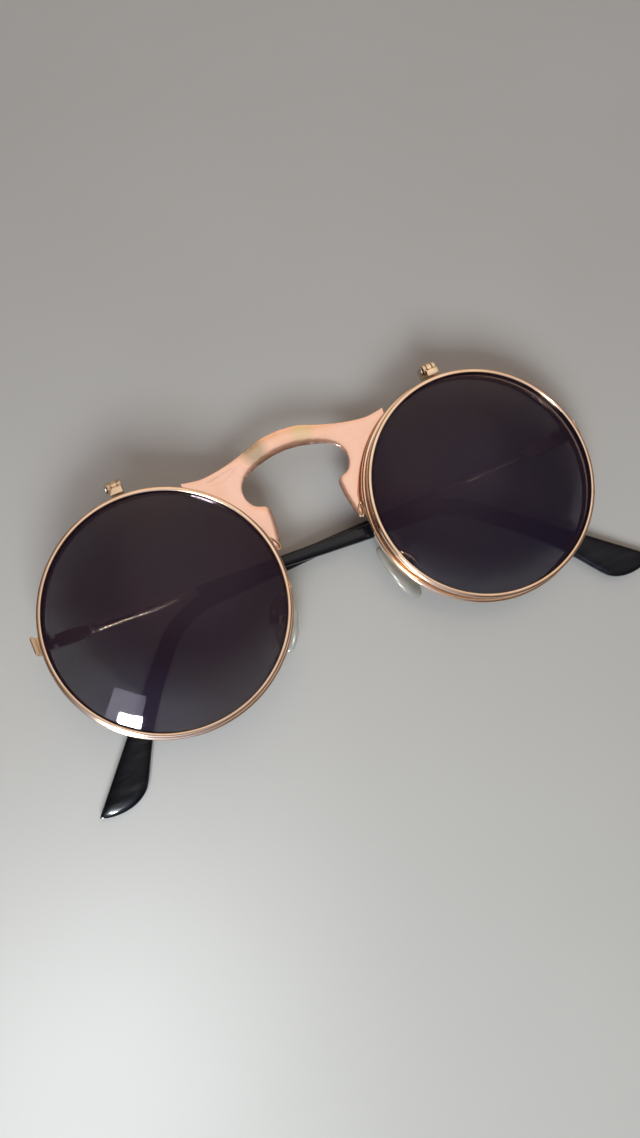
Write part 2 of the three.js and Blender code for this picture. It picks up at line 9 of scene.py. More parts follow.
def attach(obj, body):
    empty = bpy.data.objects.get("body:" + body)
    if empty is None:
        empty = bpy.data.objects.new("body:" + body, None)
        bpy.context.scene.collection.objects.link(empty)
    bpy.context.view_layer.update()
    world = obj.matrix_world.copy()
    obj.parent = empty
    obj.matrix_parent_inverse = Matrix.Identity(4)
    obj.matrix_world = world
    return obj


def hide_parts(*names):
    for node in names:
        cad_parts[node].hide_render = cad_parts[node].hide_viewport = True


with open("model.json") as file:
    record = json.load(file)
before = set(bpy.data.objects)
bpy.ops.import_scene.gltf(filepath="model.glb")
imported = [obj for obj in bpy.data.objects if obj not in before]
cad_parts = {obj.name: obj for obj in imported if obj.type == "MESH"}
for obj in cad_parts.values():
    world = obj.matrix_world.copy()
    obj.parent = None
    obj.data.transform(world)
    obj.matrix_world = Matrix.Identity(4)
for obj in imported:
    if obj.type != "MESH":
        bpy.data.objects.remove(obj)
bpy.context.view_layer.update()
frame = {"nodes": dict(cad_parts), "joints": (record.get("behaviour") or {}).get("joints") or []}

# Lengths are in millimetres in the glasses' own frame: X across, Y towards the brow, Z out of the front,
# zero midway between the lenses on the middle plane of the back rims.
MILLIMETRE = 0.001
SIDES = {"left": -1, "right": 1}
CLEARANCE = 0.3
LENS_CENTRE = 35.64
LENS = {"dome": 85, "thickness": 1.6, "edge": 0.9, "fit": 0.2, "shoulder": 0.4, "bevel": 0.1, "steps": 14}
LENS_SEGMENTS = 120
BACK_RIM = {"aperture": 24.1, "groove": 24.75, "outer": 25.6, "depth": 1.8, "z": 0}
FLIP_RIM = {"aperture": 24.0, "groove": 24.5, "outer": 24.95, "depth": 1.9, "z": 3.05}
RIM_FILLET = {"outer": 0.42, "inner": 0.26, "groove": 0.04}
RIM_SEGMENTS = 180
GROOVE_WIDTH = 1.2
PLATE = {"front": -1.2, "thickness": 0.8, "lap_radius": 25.2, "lap_steps": 40, "bottom": 3.0, "reach": 25}
PLATE_BEVEL = {"width": 0.12, "segments": 3, "angle": 50}
PLATE_EDGE = {"drop": 0.10, "width": 0.7}
PLATE_ARCH = {"drop": 0.34, "half_width": 2.3, "reach": 10.5}
TAB = {
    "top": Vector((10.35, 6.2, -0.98)), "bottom": Vector((9.45, 3.3, -0.98)),
    "across": Vector((0.955, -0.297, 0)), "half_width": 0.85, "taper": 0.75, "wire": 0.22, "steps": 32,
}
TEMPLE_AXIS = Vector((60.2, 3.4, -4.8))
COLLAR = {"start": 9.1, "end": 10.1, "inner": 0.8, "outer": 1.3}
SPRING = {"start": 10.5, "end": 24.4, "coils": 13, "radius": 1.03, "wire": 0.27, "steps_per_turn": 20}
CORE_CHAMFER = {"length": 0.12, "depth": 0.1, "shoulder": 0.01}
CORE = {"start": 8.9, "thin": 0.5, "thick": 0.75, "thick_start": 24.8, "thick_end": 31.2, "tip_margin": 14}
SLEEVE = {
    "start": 31.5, "bore": 0.7, "half_thickness": 1.1, "start_half": 1.15, "bend_half": 1.75,
    "round": 0.65, "mouth": 0.88,
}
SLEEVE_COLUMNS = 32
PADDLE = {
    "upper": 2.0, "belly": 3.7, "belly_at": 8.8, "spread": 11, "blend": 8, "swell_power": 1.4,
    "closing_power": 0.75,
}
BEND_RADIUS = 18
TEMPLES = {
    "left": {"droop": 2.7, "vertex": 90.1, "tip": 47.7, "tip_angle": 38.5},
    "right": {"droop": 2.1, "vertex": 94.2, "tip": 45.8, "tip_angle": 49.5},
}
PAD = {
    "length": 14.4, "width": 6, "thickness": 2.2, "centre": Vector((13.4, -10.5, -6.1)),
    "swell": 0.16, "bulge": 2.6, "round": 0.42, "layers": 16, "spokes": 48,
}
PAD_BOX = {"radius": 0.95, "back": 2.0}
PAD_ARM_RADIUS = 0.5
PAD_ARM_KNOTS = [Vector((11.3, -5.2, -1.75)), Vector((12.4, -5.5, -2.6)), Vector((14.4, -6.4, -2.9))]
PAD_ARM_END = {"before": 1.8, "past": 0.9}
KEPT_BEVEL = {"weld": 0.002, "width": 0.09, "segments": 2, "angle": 40}
FLOOR_HALF_SIZE = 3.0

X = Vector((1, 0, 0))
Y = Vector((0, 1, 0))
Z = Vector((0, 0, 1))


def glasses_frame():
    """Matrix from the glasses' own frame in millimetres to the row frame in metres."""
    pivots = {joint["name"]: Vector(joint["pos_m"]) for joint in frame["joints"]}
    left = pivots["temple_left_hinge"]
    right = pivots["temple_right_hinge"]
    across = (right - left).normalized()
    out = across.cross(Y)
    origin = (left + right) / 2 - (Y * TEMPLE_AXIS.y + out * TEMPLE_AXIS.z) * MILLIMETRE
    turn = Matrix((across, Y, out)).transposed()
    return Matrix.Translation(origin) @ turn.to_4x4() @ Matrix.Scale(MILLIMETRE, 4)


GLASSES = glasses_frame()
TILT = math.atan2(-GLASSES[2][0], GLASSES[0][0])


# ---------------------------------------------------------------- mesh helpers

def add_object(name, points, faces, body, nodes, material, sharp=40):
    mesh = bpy.data.meshes.new(name)
    mesh.from_pydata([GLASSES @ point for point in points], [], faces)
    bm = bmesh.new()
    bm.from_mesh(mesh)
    bmesh.ops.recalc_face_normals(bm, faces=bm.faces)
    bm.to_mesh(mesh)
    bm.free()
    mesh.polygons.foreach_set("use_smooth", [True] * len(mesh.polygons))
    mesh.set_sharp_from_angle(angle=math.radians(sharp))
    piece = bpy.data.objects.new(name, mesh)
    bpy.context.collection.objects.link(piece)
    mesh.materials.append(material)
    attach(piece, body)
    if nodes:
        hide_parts(*nodes)
    return piece


def skin_faces(rows, columns, looped=False):
    """Four-sided faces between rings laid out one after another; looped joins the last ring to the first."""
    faces = []
    for row in range(rows if looped else rows - 1):
        here = row * columns
        there = ((row + 1) % rows) * columns
        for column in range(columns):
            beside = (column + 1) % columns
            faces.append((here + column, here + beside, there + beside, there + column))
    return faces


def skin(rings):
    """Closed body over a row of rings, with a fan at each end."""
    columns = len(rings[0])
    points = [point for ring in rings for point in ring]
    faces = skin_faces(len(rings), columns)
    last = (len(rings) - 1) * columns
    points.append(sum(rings[0], Vector()) / columns)
    points.append(sum(rings[-1], Vector()) / columns)
    for column in range(columns):
        beside = (column + 1) % columns
        faces.append((len(points) - 2, beside, column))
        faces.append((len(points) - 1, last + column, last + beside))
    return points, faces


def circle(centre, across, along, radius, count):
    """Ring of points in the plane of two unit vectors."""
    turns = [2 * math.pi * step / count for step in range(count)]
    return [centre + across * radius * math.cos(turn) + along * radius * math.sin(turn) for turn in turns]


def revolve(profile, centre, count):
    """Turns a closed outline of (radius, height) about Z."""
    spokes = circle(Vector(), X, Y, 1, count)
    points = [centre + spoke * radius + Z * height for spoke in spokes for radius, height in profile]
    return points, skin_faces(count, len(profile), looped=True)


def filleted(corners, steps=4):
    """Rounds the corners of a closed outline: each corner is (x, y, radius)."""
    outline = []
    for index, (x, y, radius) in enumerate(corners):
        corner = Vector((x, y))
        before = Vector(corners[index - 1][:2]) - corner
        after = Vector(corners[(index + 1) % len(corners)][:2]) - corner
        start = corner + before.normalized() * radius
        end = corner + after.normalized() * radius
        for step in range(steps + 1):
            share = step / steps
            outline.append(start.lerp(corner, share).lerp(corner.lerp(end, share), share))
    return outline


def add_bevel(piece, shape):
    """Rounds the edges of a piece that are sharper than an angle."""
    bevel = piece.modifiers.new("edge", "BEVEL")
    bevel.width = shape["width"] * MILLIMETRE
    bevel.segments = shape["segments"]
    bevel.limit_method = "ANGLE"
    bevel.angle_limit = math.radians(shape["angle"])
    return bevel


def mirrored(points, side):
    """Right-hand points as they are for side 1, or on the left for side -1."""
    return [Vector((point.x * side, point.y, point.z)) for point in points]


def smooth_line(points, steps):
    """Catmull-Rom curve through points of a plane or of space."""
    path = [Vector(point) for point in points]
    path = [2 * path[0] - path[1]] + path + [2 * path[-1] - path[-2]]
    line = []
    for index in range(1, len(path) - 2):
        a, b, c, d = path[index - 1:index + 3]
        for step in range(steps):
            t = step / steps
            square = (2 * a - 5 * b + 4 * c - d) * t * t
            cube = (3 * b - a - 3 * c + d) * t ** 3
            line.append(0.5 * (2 * b + (c - a) * t + square + cube))
    line.append(path[-2])
    return line


def smoothstep(value, low, high):
    """0 below low, 1 above high, and an even S between them."""
    share = min(max((value - low) / (high - low), 0), 1)
    return share * share * (3 - 2 * share)


def spread(start, end, count):
    """Evenly spaced values from start to end, both included."""
    return [start + (end - start) * step / count for step in range(count + 1)]


def edge_distance(point, outline):
    """How far a point of the plane lies from a closed outline."""
    nearest = math.inf
    for index, start in enumerate(outline):
        end = outline[(index + 1) % len(outline)]
        share = intersect_point_line(point, start, end)[1]
        foot = start.lerp(end, min(max(share, 0), 1))
        nearest = min(nearest, (point - foot).length)
    return nearest


def is_inside(point, outline):
    """Counts the edges that a line from the point towards +X crosses."""
    inside = False
    for index, a in enumerate(outline):
        b = outline[(index + 1) % len(outline)]
        if (a.y > point.y) != (b.y > point.y):
            if point.x < (b.x - a.x) * (point.y - a.y) / (b.y - a.y) + a.x:
                inside = not inside
    return inside


def boundary(faces):
    """Edges that belong to one face only."""
    seen = {}
    for face in faces:
        for index, start in enumerate(face):
            end = face[(index + 1) % len(face)]
            key = (min(start, end), max(start, end))
            seen[key] = None if key in seen else (start, end)
    return [edge for edge in seen.values() if edge]


# ---------------------------------------------------------------- materials

def new_material(name):
    """A material with its node list, its links and its main shader."""
    material = bpy.data.materials.new(name)
    material.use_nodes = True
    nodes = material.node_tree.nodes
    return material, nodes, material.node_tree.links, nodes["Principled BSDF"]


# Stretched noise runs askew to the object's own axes
GRAIN_TURN = (0.3, 0.2, 0.5)


def add_noise(nodes, links, scale, detail, stretch=None):
    """Noise over the object's own coordinates; stretch squeezes it along some axes."""
    place = nodes.new("ShaderNodeTexCoord")
    noise = nodes.new("ShaderNodeTexNoise")
    noise.inputs["Scale"].default_value = scale
    noise.inputs["Detail"].default_value = detail
    if stretch:
        mapping = nodes.new("ShaderNodeMapping")
        mapping.inputs["Scale"].default_value = stretch
        mapping.inputs["Rotation"].default_value = GRAIN_TURN
        links.new(place.outputs["Object"], mapping.inputs["Vector"])
        links.new(mapping.outputs["Vector"], noise.inputs["Vector"])
    else:
        links.new(place.outputs["Object"], noise.inputs["Vector"])
    return noise.outputs["Fac"]


def add_range(nodes, links, value, low, high, start=0.35, end=0.65):
    """Turns start to end, by default the busy middle of a noise, into low to high."""
    remap = nodes.new("ShaderNodeMapRange")
    remap.inputs["From Min"].default_value = start
    remap.inputs["From Max"].default_value = end
    remap.inputs["To Min"].default_value = low
    remap.inputs["To Max"].default_value = high
    links.new(value, remap.inputs["Value"])
    return remap.outputs["Result"]


def add_mix(nodes, links, value, first, second):
    """Colour between two tones as the value goes from 0 to 1."""
    mix = nodes.new("ShaderNodeMix")
    mix.data_type = "RGBA"
    mix.inputs["A"].default_value = (*first, 1)
    mix.inputs["B"].default_value = (*second, 1)
    links.new(value, mix.inputs["Factor"])
    return mix.outputs["Result"]


def add_tint(nodes, links, value, colour, tone):
    """Lays one tone over a linked colour as the value goes from 0 to 1."""
    mix = nodes.new("ShaderNodeMix")
    mix.data_type = "RGBA"
    mix.inputs["B"].default_value = (*tone, 1)
    links.new(colour, mix.inputs["A"])
    links.new(value, mix.inputs["Factor"])
    return mix.outputs["Result"]


def add_bump(nodes, links, shader, height, distance, strength):
    """Fine relief; the distance is in metres."""
    bump = nodes.new("ShaderNodeBump")
    bump.inputs["Distance"].default_value = distance
    bump.inputs["Strength"].default_value = strength
    links.new(height, bump.inputs["Height"])
    links.new(bump.outputs["Normal"], shader.inputs["Normal"])


def add_patch(nodes, links, centre, radius):
    """1 in the inner 40 per cent of a soft round patch of the glasses' frame, 0 outside the patch."""
    place = nodes.new("ShaderNodeTexCoord")
    gap = nodes.new("ShaderNodeVectorMath")
    gap.operation = "DISTANCE"
    gap.inputs[1].default_value = GLASSES @ Vector(centre)
    links.new(place.outputs["Object"], gap.inputs[0])
    edge = radius * MILLIMETRE
    return add_range(nodes, links, gap.outputs["Value"], 1, 0, 0.4 * edge, edge)


def gold_metal(name, polish, tone, deep, painted_reflections=()):
    """Polished rose gold plating with smudges, hairline scratches and, if asked for, round patches of painted
    reflection.
    """
    material, nodes, links, shader = new_material(name)
    shader.inputs["Metallic"].default_value = 1.0
    smudge = add_noise(nodes, links, 160, 3.0)
    hairline = add_noise(nodes, links, 900, 2.0, stretch=(1.0, 0.05, 1.0))
    share = add_range(nodes, links, smudge, 0, 1)
    colour = add_mix(nodes, links, share, tone, deep)
    # Painted reflections: each patch lays a reflected tone over the plating
    for centre, radius, reflected_tone in painted_reflections:
        colour = add_tint(nodes, links, add_patch(nodes, links, centre, radius), colour, reflected_tone)
    links.new(colour, shader.inputs["Base Color"])
    links.new(add_range(nodes, links, smudge, polish * 0.7, polish * 1.7), shader.inputs["Roughness"])
    add_bump(nodes, links, shader, hairline, 0.00002, 0.12)
    return material


def screw_steel():
    """Warm grey turned steel with a fine grain."""
    material, nodes, links, shader = new_material("screw_steel")
    shader.inputs["Metallic"].default_value = 1.0
    grain = add_noise(nodes, links, 1400, 3.0, stretch=(1.0, 0.2, 1.0))
    share = add_range(nodes, links, grain, 0, 1)
    colour = add_mix(nodes, links, share, (0.74, 0.66, 0.56), (0.50, 0.44, 0.37))
    links.new(colour, shader.inputs["Base Color"])
    links.new(add_range(nodes, links, grain, 0.16, 0.32), shader.inputs["Roughness"])
    add_bump(nodes, links, shader, grain, 0.00002, 0.2)
    return material


def tinted_lens():
    """Dark plum grey tint, a little see-through, with a hard gloss and a few specks of dust."""
    material, nodes, links, shader = new_material("tinted_lens")
    cloud = add_noise(nodes, links, 30, 2.0)
    dust = add_noise(nodes, links, 2600, 2.0)
    share = add_range(nodes, links, cloud, 0, 1)
    colour = add_mix(nodes, links, share, (0.020, 0.007, 0.015), (0.012, 0.007, 0.020))
    links.new(colour, shader.inputs["Base Color"])
    links.new(add_range(nodes, links, dust, 0.02, 0.30, 0.70, 0.80), shader.inputs["Roughness"])
    shader.inputs["IOR"].default_value = 1.33
    shader.inputs["Specular Tint"].default_value = (1.0, 0.84, 1.0, 1)
    shader.inputs["Alpha"].default_value = 0.64
    add_bump(nodes, links, shader, cloud, 0.00002, 0.05)
    return material


def clear_lens():
    """Clear plastic, faintly green at a glance, with a coated gloss."""
    material, nodes, links, shader = new_material("clear_lens")
    cloud = add_noise(nodes, links, 60, 2.0)
    share = add_range(nodes, links, cloud, 0, 1)
    colour = add_mix(nodes, links, share, (0.80, 0.84, 0.82), (0.74, 0.80, 0.79))
    links.new(colour, shader.inputs["Base Color"])
    links.new(add_range(nodes, links, cloud, 0.03, 0.08), shader.inputs["Roughness"])
    shader.inputs["Alpha"].default_value = 0.10
    shader.inputs["IOR"].default_value = 1.5
    add_bump(nodes, links, shader, cloud, 0.00002, 0.04)
    return material


def black_sleeve():
    """Glossy black moulded plastic with a soft waviness and faint handling marks."""
    material, nodes, links, shader = new_material("black_sleeve")
    wave = add_noise(nodes, links, 120, 2.0)
    rub = add_noise(nodes, links, 700, 4.0, stretch=(0.15, 1.0, 1.0))
    share = add_range(nodes, links, rub, 0, 1)
    colour = add_mix(nodes, links, share, (0.004, 0.004, 0.006), (0.009, 0.009, 0.012))
    links.new(colour, shader.inputs["Base Color"])
    links.new(add_range(nodes, links, rub, 0.10, 0.18), shader.inputs["Roughness"])
    shader.inputs["IOR"].default_value = 1.33
    shader.inputs["Coat Weight"].default_value = 0.15
    shader.inputs["Coat Roughness"].default_value = 0.05
    add_bump(nodes, links, shader, wave, 0.0002, 0.05)
    return material


def pad_silicone():
    """Soft clear silicone, a little milky, with a wet shine."""
    material, nodes, links, shader = new_material("pad_silicone")
    cloud = add_noise(nodes, links, 240, 3.0)
    share = add_range(nodes, links, cloud, 0, 1)
    colour = add_mix(nodes, links, share, (0.60, 0.57, 0.50), (0.46, 0.44, 0.39))
    links.new(colour, shader.inputs["Base Color"])
    links.new(add_range(nodes, links, cloud, 0.12, 0.28), shader.inputs["Roughness"])
    shader.inputs["Coat Weight"].default_value = 0.6
    shader.inputs["Coat Roughness"].default_value = 0.06
    shader.inputs["Subsurface Weight"].default_value = 0.3
    shader.inputs["Subsurface Scale"].default_value = 0.002
    shader.inputs["Alpha"].default_value = 0.66
    add_bump(nodes, links, shader, cloud, 0.0001, 0.1)
    return material


# Places on the arch, with a radius and a colour, where reflections of the room are painted into the rose
# plating: one darker, one a paler brass
PLATE_PAINTED_REFLECTIONS = (
    ((-6.5, 24.8, -1.2), 3.6, (0.52, 0.40, 0.28)),
    ((4.8, 25.2, -1.2), 3.2, (0.78, 0.58, 0.36)),
)

MATERIALS = {
    "rim": gold_metal("rim_gold", polish=0.08, tone=(0.94, 0.70, 0.53), deep=(0.86, 0.60, 0.41)),
    "plate": gold_metal(
        "plate_gold", polish=0.09, tone=(0.93, 0.59, 0.46), deep=(0.90, 0.56, 0.41), painted_reflections=PLATE_PAINTED_REFLECTIONS,
    ),
    "hinge": gold_metal("hinge_gold", polish=0.14, tone=(0.86, 0.66, 0.46), deep=(0.74, 0.54, 0.35)),
    "temple": gold_metal("temple_gold", polish=0.14, tone=(0.88, 0.66, 0.48), deep=(0.80, 0.57, 0.38)),
    # The springs' gold is painted lighter than the temples' own, a painted highlight standing in for the
    # glints on the coils
    "spring": gold_metal("spring_gold_painted_glints", polish=0.16, tone=(0.96, 0.82, 0.68), deep=(0.92, 0.74, 0.58)),
    "steel": screw_steel(),
    "tint": tinted_lens(),
    "clear": clear_lens(),
    "black": black_sleeve(),
    "silicone": pad_silicone(),
}


# ---------------------------------------------------------------- rims and lenses

def add_rim(name, rim, side, body):
    """Rounded rim wire with the groove that holds the lens."""
    face = rim["depth"] / 2
    lip = GROOVE_WIDTH / 2
    outer, inner, groove = rim["outer"], rim["aperture"], rim["groove"]
    crown, edge, corner = RIM_FILLET["outer"], RIM_FILLET["inner"], RIM_FILLET["groove"]
    profile = filleted([
        (outer, -face, crown), (outer, face, crown), (inner, face, edge), (inner, lip, corner),
        (groove, lip, corner), (groove, -lip, corner), (inner, -lip, corner), (inner, -face, edge),
    ])
    points, faces = revolve(profile, Vector((side * LENS_CENTRE, 0, rim["z"])), RIM_SEGMENTS)
    add_object(f"{name}_shape", points, faces, body, [name], MATERIALS["rim"])


def dome_drop(radius):
    """How far the dome of a lens has fallen at a distance from its middle."""
    return LENS["dome"] - math.sqrt(LENS["dome"] ** 2 - radius ** 2)


def add_lens(name, rim, side, body, material):
    """Domed lens whose bevelled edge stands in the groove of its rim."""
    edge = rim["groove"] - LENS["fit"]
    shoulder = rim["aperture"] - LENS["shoulder"]
    bevel = rim["aperture"] - LENS["bevel"]
    rise = dome_drop(edge)
    half = LENS["thickness"] / 2
    lip = LENS["edge"] / 2
    radii = [shoulder * (step + 1) / LENS["steps"] for step in range(LENS["steps"])]
    profile = [(radius, rise - dome_drop(radius) + half) for radius in radii]
    profile += [(bevel, lip), (edge, lip), (edge, -lip), (bevel, -lip)]
    profile += [(radius, rise - dome_drop(radius) - half) for radius in reversed(radii)]
    centre = Vector((side * LENS_CENTRE, 0, rim["z"]))
    rings = [circle(centre + Z * height, X, Y, radius, LENS_SEGMENTS) for radius, height in profile]
    points, faces = skin(rings)
    points[-2] = centre + Z * (rise + half)
    points[-1] = centre + Z * (rise - half)
    add_object(f"{name}_shape", points, faces, body, [name], MATERIALS[material], sharp=25)


# ---------------------------------------------------------------- bridge plate

# Right half of the plate's outline: over the arch and along the ear, then up the leg and under the arch
PLATE_TOP = ((0, 27.4), (4.6, 26.9), (8.5, 25.5), (13.6, 24.0), (18.8, 23.25), (22.6, 23.65))
PLATE_EAR_TIP = (23.5, 23.9)
PLATE_NOSE = (
    (9.1, 3.4), (8.4, 6.4), (7.95, 10.2), (8.3, 12.6), (10.85, 13.95), (12.05, 16.8),
    (10.8, 19.65), (7.8, 21.25), (3.5, 22.4), (0, 22.75),
)
# Where the edge that laps behind the rim begins and ends
PLATE_LAP = ((23.2, 22.2), (9.9, 3.9))
PLATE_DENT = {
    "depth": 0.09,
    "fade": 0.7,
    "outline": smooth_line((
        (-19.0, 22.2), (-15.3, 22.9), (-11.3, 23.5), (-10.9, 22.9),
        (-12.9, 21.5), (-15.6, 20.6), (-18.3, 21.0), (-19.0, 22.2),
    ), 4)[:-1],
}


def plate_outline():
    """Closed outline of the plate, its edges behind the rims being arcs round the lens centres."""
    upper, lower = (math.atan2(y, x - LENS_CENTRE) for x, y in PLATE_LAP)
    radius = PLATE["lap_radius"]
    turns = spread(upper, lower, PLATE["lap_steps"])
    lap = [Vector((LENS_CENTRE + radius * math.cos(turn), radius * math.sin(turn))) for turn in turns]
    half = smooth_line(PLATE_TOP, 8) + [Vector(PLATE_EAR_TIP)] + lap + smooth_line(PLATE_NOSE, 8)
    return half + [Vector((-point.x, point.y)) for point in reversed(half[1:-1])]


def plate_height(point, distance):
    """Height of the stamped front: edges rolled over a little, the arch rounded, a dent in the left ear."""
    rolled = PLATE_EDGE["drop"] * (1 - min(distance / PLATE_EDGE["width"], 1)) ** 2
    along = math.exp(-(point.x / PLATE_ARCH["reach"]) ** 4)
    rounded = PLATE_ARCH["drop"] * along * (1 - min(distance / PLATE_ARCH["half_width"], 1)) ** 2
    dent = 0
    if is_inside(point, PLATE_DENT["outline"]):
        inset = edge_distance(point, PLATE_DENT["outline"])
        dent = PLATE_DENT["depth"] * smoothstep(inset, 0, PLATE_DENT["fade"])
    return -rolled - rounded - dent


def fill_points(outline, spacing, margin):
    """Staggered points over the inside of an outline, clear of its edge."""
    points = []
    count = int(PLATE["reach"] / spacing)
    for row in range(count):
        for column in range(-count, count + 1):
            point = Vector(((column + 0.5 * (row % 2)) * spacing, PLATE["bottom"] + row * spacing))
            if is_inside(point, outline) and edge_distance(point, outline) > margin:
                points.append(point)
    return points


def add_plate():
    """Stamped plate, meshed finer where the dent is."""
    outline = plate_outline()
    dent = PLATE_DENT["outline"]
    coarse = fill_points(outline, spacing=0.6, margin=0.3)
    inner = [point for point in coarse if not is_inside(point, dent)]
    inner += fill_points(dent, spacing=0.3, margin=0.1) + dent
    edges = [(index, (index + 1) % len(outline)) for index in range(len(outline))]
    verts, _, faces, *_ = delaunay_2d_cdt(outline + inner, edges, [], 1, 1e-5)
    heights = [plate_height(point, edge_distance(point, outline)) for point in verts]
    front = [Vector((point.x, point.y, PLATE["front"] + height)) for point, height in zip(verts, heights)]
    back = [Vector((point.x, point.y, PLATE["front"] - PLATE["thickness"])) for point in verts]
    count = len(verts)
    sides = [(a, b, b + count, a + count) for a, b in boundary(faces)]
    turned = [tuple(index + count for index in reversed(face)) for face in faces]
    plate = add_object(
        "bridge_plate_shape", front + back, [tuple(face) for face in faces] + turned + sides,
        "frame", ["bridge_plate"], MATERIALS["plate"], sharp=PLATE_BEVEL["angle"],
    )
    bevel = add_bevel(plate, PLATE_BEVEL)
    bevel.harden_normals = True


def add_tab(name, side):
    """Narrow loop of metal where the lower tip of the plate is soldered to the rim."""
    along = (TAB["top"] - TAB["bottom"]).normalized()
    points = []
    for step in range(TAB["steps"]):
        turn = 2 * math.pi * step / TAB["steps"]
        share = 0.5 + 0.5 * math.cos(turn)
        centre = TAB["bottom"].lerp(TAB["top"], share)
        reach = TAB["half_width"] * math.sin(turn) * (1 - TAB["taper"] * share)
        out = TAB["across"] * math.sin(turn) + along * math.cos(turn)
        points += circle(centre + TAB["across"] * reach, out, Z, TAB["wire"], 10)
    faces = skin_faces(TAB["steps"], 10, looped=True)
    add_object(f"plate_tab_{name}", mirrored(points, side), faces, "frame", [], MATERIALS["hinge"])


# ---------------------------------------------------------------- temples

def temple_line(droop, vertex, tip, tip_angle):
    """Middle line of a temple: straight, one bend behind the ear, straight to the tip."""
    start = math.radians(droop)
    turn = math.radians(tip_angle) - start
    tangent = BEND_RADIUS * math.tan(turn / 2)
    bend_start = vertex - tangent
    bend_length = BEND_RADIUS * turn

    def point_at(distance):
        """The point at a distance from the hinge, and the direction square to the line there."""
        straight = min(distance, bend_start)
        bent = min(max(distance - bend_start, 0), bend_length) / BEND_RADIUS
        rest = max(distance - bend_start - bend_length, 0)
        heading = start + bent
        along = straight * math.cos(start) + rest * math.cos(heading)
        along += BEND_RADIUS * (math.sin(heading) - math.sin(start))
        drop = straight * math.sin(start) + rest * math.sin(heading)
        drop += BEND_RADIUS * (math.cos(start) - math.cos(heading))
        return Vector((-along, -drop, 0)), Vector((-math.sin(heading), math.cos(heading), 0))

    bend_end = bend_start + bend_length
    return {"at": point_at, "bend_start": bend_start, "bend_end": bend_end, "total": bend_end + tip - tangent}


def sleeve_section(line, distance):
    """How far the sleeve reaches above and below the middle line, and half its thickness."""
    to_tip = line["total"] - distance
    width = SLEEVE["start_half"]
    width += (SLEEVE["bend_half"] - width) * smoothstep(distance, SLEEVE["start"], line["bend_start"])
    past = smoothstep(distance, line["bend_start"], line["bend_end"] + PADDLE["blend"])
    upper = width + (PADDLE["upper"] - width) * past
    depth = PADDLE["belly"] + SLEEVE["bend_half"]
    thick = SLEEVE["half_thickness"]
    if to_tip > PADDLE["belly_at"]:
        swell = math.exp(-(((to_tip - PADDLE["belly_at"]) / PADDLE["spread"]) ** PADDLE["swell_power"]))
        return upper, width + (depth - width) * swell, thick
    closing = (1 - to_tip / PADDLE["belly_at"]) ** 2
    lower = (depth + upper) * (1 - closing) ** PADDLE["closing_power"] - upper
    return upper, lower, thick * (1 - closing ** 3) ** 0.5


def sleeve_ring(line, distance):
    """Ring round the sleeve: an oval flattened towards a rectangle."""
    point, up = line["at"](distance)
    upper, lower, thick = sleeve_section(line, distance)
    centre = point + up * (upper - lower) / 2
    half = (upper + lower) / 2
    ring = []
    for step in range(SLEEVE_COLUMNS):
        turn = 2 * math.pi * step / SLEEVE_COLUMNS
        high = math.copysign(abs(math.cos(turn)) ** SLEEVE["round"], math.cos(turn))
        deep = math.copysign(abs(math.sin(turn)) ** SLEEVE["round"], math.sin(turn))
        ring.append(centre + up * half * high + Z * thick * deep)
    return ring


def line_ring(line, distance, radius, count=24):
    """Circle round the middle line of a temple."""
    point, up = line["at"](distance)
    return circle(point, up, Z, radius, count)


def rest_angle(name):
    """Slope of a folded temple away from the front: both temples' tips lie on the same surface."""
    if name == "right":
        return TILT
    line = temple_line(**TEMPLES["left"])
    reach = -line["at"](line["total"] - PADDLE["belly_at"] / 3)[0].x
    return math.asin(2 * TEMPLE_AXIS.x * math.sin(TILT) / reach) - TILT


def place_temple(points, name):
    """Moves points of a temple from its own line to its folded place on its side."""
    turn = Matrix.Rotation(-rest_angle(name), 3, "Y")
    return mirrored([TEMPLE_AXIS + turn @ point for point in points], SIDES[name])


def add_sleeve(name, line):
    """Black sleeve from its rounded mouth to the paddle tip, with the bore for the wire inside it."""
    start, bend_start, bend_end = SLEEVE["start"], line["bend_start"], line["bend_end"]
    belly = line["total"] - PADDLE["belly_at"]
    # The rings crowd together towards the tip, where the paddle closes
    tip = [line["total"] - PADDLE["belly_at"] * (1 - step / 20) ** 1.6 for step in range(20)]
    mouth = [start, start + 0.12, start + 0.4]
    outside = mouth + spread(start + 4, bend_start, 12)
    outside += spread(bend_start, bend_end, 12)[1:] + spread(bend_end, belly, 16)[1:] + tip[1:]
    rings = [sleeve_ring(line, distance) for distance in reversed(outside)]
    first = rings[-1]
    middle = sum(first, Vector()) / len(first)
    rings[-1] = [middle.lerp(point, SLEEVE["mouth"]) for point in first]
    bore_end = line["total"] - CORE["tip_margin"] + CLEARANCE
    inside = [start] + spread(bend_start, bend_end, 8) + [bore_end]
    rings += [line_ring(line, distance, SLEEVE["bore"], SLEEVE_COLUMNS) for distance in inside]
    points, faces = skin(rings)
    add_object(
        f"temple_sleeve_{name}_shape", place_temple(points, name), faces, f"temple_{name}",
        [f"temple_sleeve_{name}"], MATERIALS["black"], sharp=60,
    )


def add_core(name, line):
    """Wire of the temple: thin through the spring and the sleeve, thick between them."""
    thin, thick = CORE["thin"], CORE["thick"]
    bend = spread(line["bend_start"], line["bend_end"], 8)
    first, last = CORE["thick_start"], CORE["thick_end"]
    length, edge = CORE_CHAMFER["length"], thick - CORE_CHAMFER["depth"]
    shoulder = CORE_CHAMFER["shoulder"]
    marks = [(CORE["start"], thin), (first - shoulder, thin), (first, edge), (first + length, thick)]
    marks += [(last - length, thick), (last, edge), (last + shoulder, thin)]
    marks += [(distance, thin) for distance in bend + [line["total"] - CORE["tip_margin"]]]
    points, faces = skin([line_ring(line, distance, radius) for distance, radius in marks])
    add_object(
        f"temple_core_{name}_shape", place_temple(points, name), faces, f"temple_{name}",
        [f"temple_core_{name}"], MATERIALS["temple"],
    )


